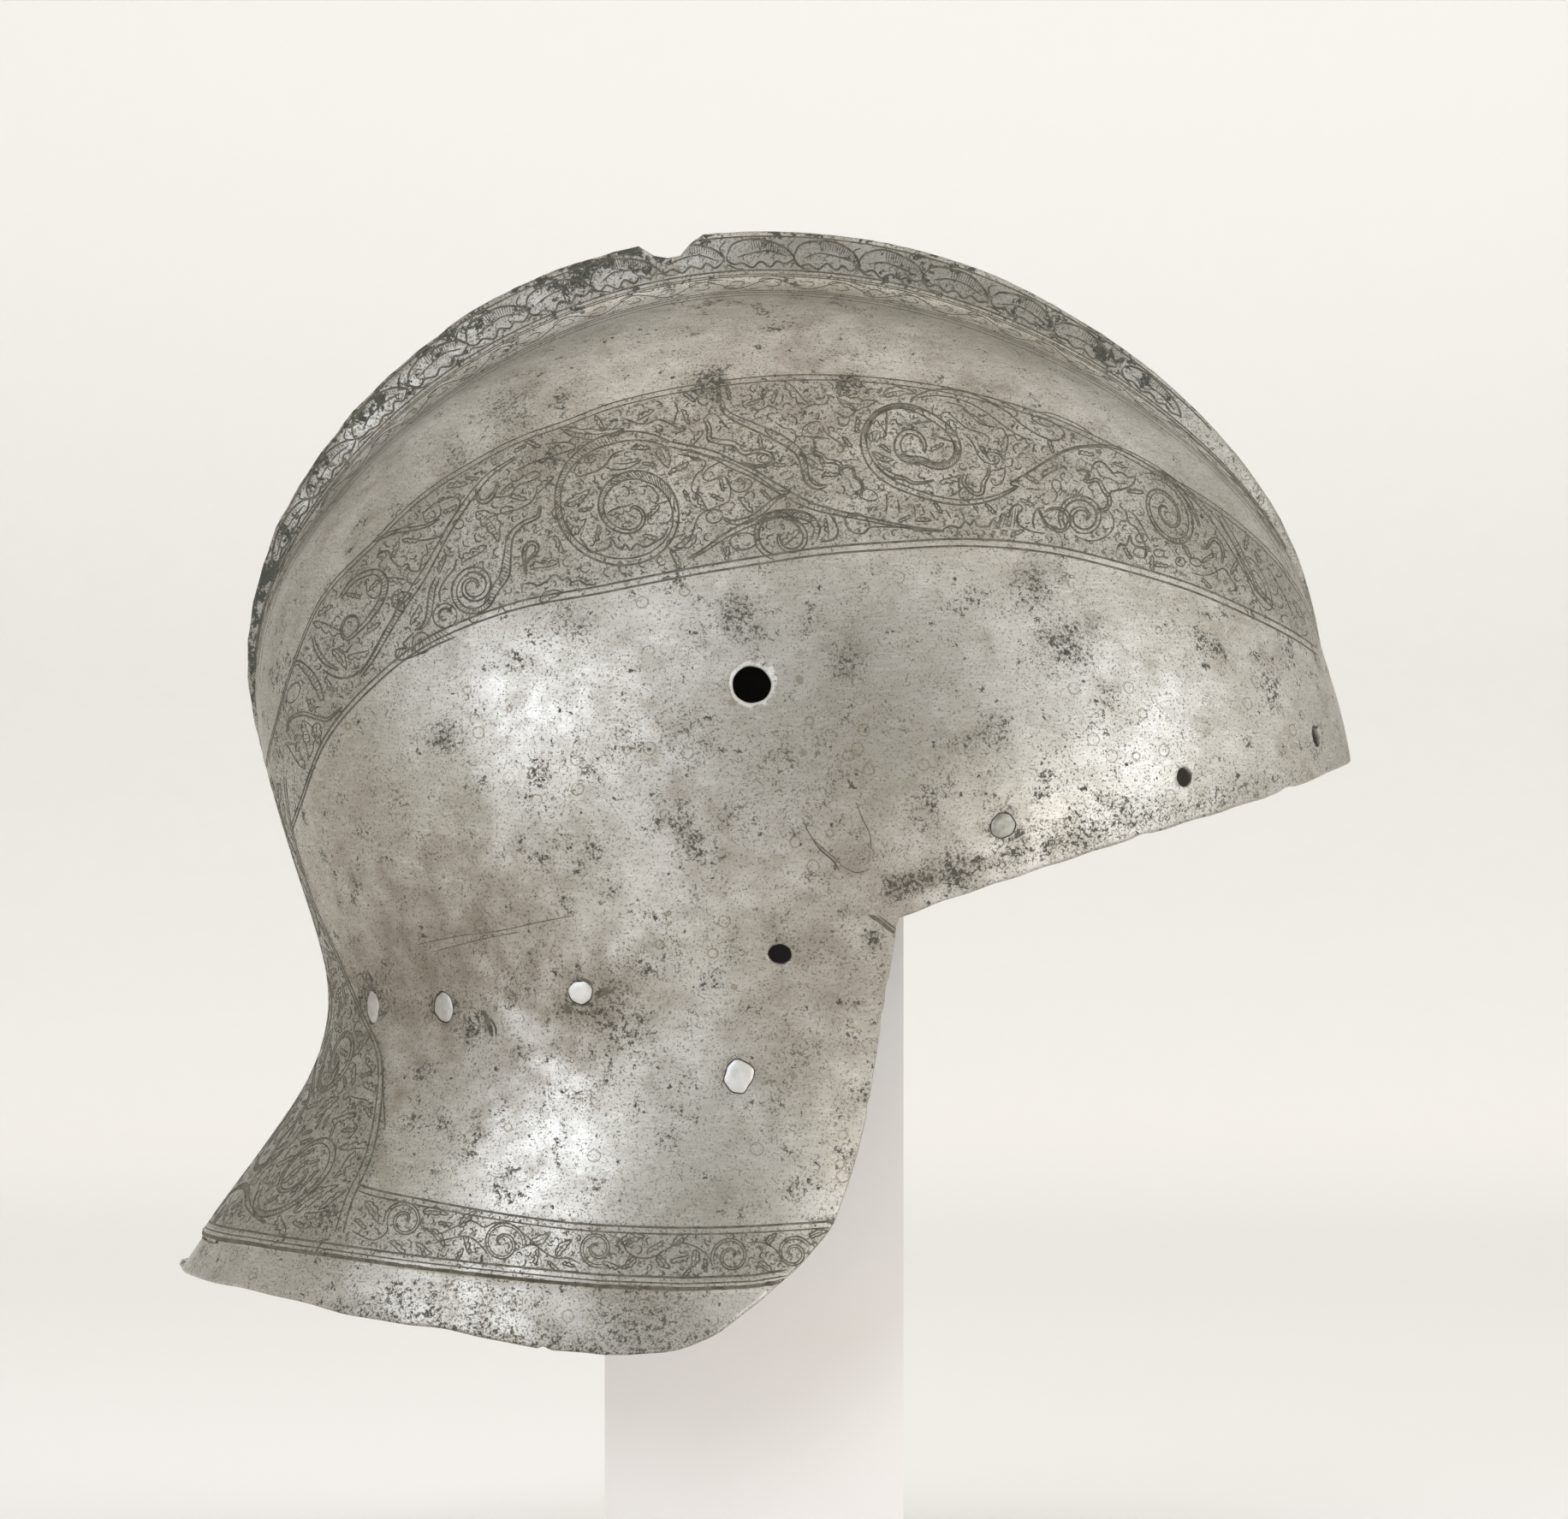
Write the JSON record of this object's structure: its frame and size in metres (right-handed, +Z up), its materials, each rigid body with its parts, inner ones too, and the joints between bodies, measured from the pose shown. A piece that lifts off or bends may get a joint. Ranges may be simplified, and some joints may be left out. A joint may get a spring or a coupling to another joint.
{
  "type": "close helmet bowl on a plain post stand",
  "caption": "Steel bowl of a close helmet with a low comb, etched scroll bands and a flared nape, without its visor, on a plain pale square post.",
  "frame": {"origin": "centre of the post's foot, on the surface that the stand rests on", "axes": "+X to the front of the helmet, +Y to the wearer's left, +Z up; mirrored about the plane Y = 0"},
  "size_m": [0.2876, 0.1944, 0.3299],
  "materials": {
    "helmet_steel": "aged, worn and pitted steel with etched scrolls darkened by patina",
    "rivet_metal": "filed flush, lighter than the plate",
    "post_paint": "matt off-white paint on a wooden post"
  },
  "bodies": {
    "root": {"helmet_bowl": "helmet_steel", "brow_rivet_right": "rivet_metal", "cheek_rivet_right": "rivet_metal", "neck_rivet_1_right": "rivet_metal", "neck_rivet_2_right": "rivet_metal", "neck_rivet_3_right": "rivet_metal", "brow_rivet_left": "rivet_metal", "cheek_rivet_left": "rivet_metal", "neck_rivet_1_left": "rivet_metal", "neck_rivet_2_left": "rivet_metal", "neck_rivet_3_left": "rivet_metal", "display_post": "post_paint"}
  },
  "joints": []
}
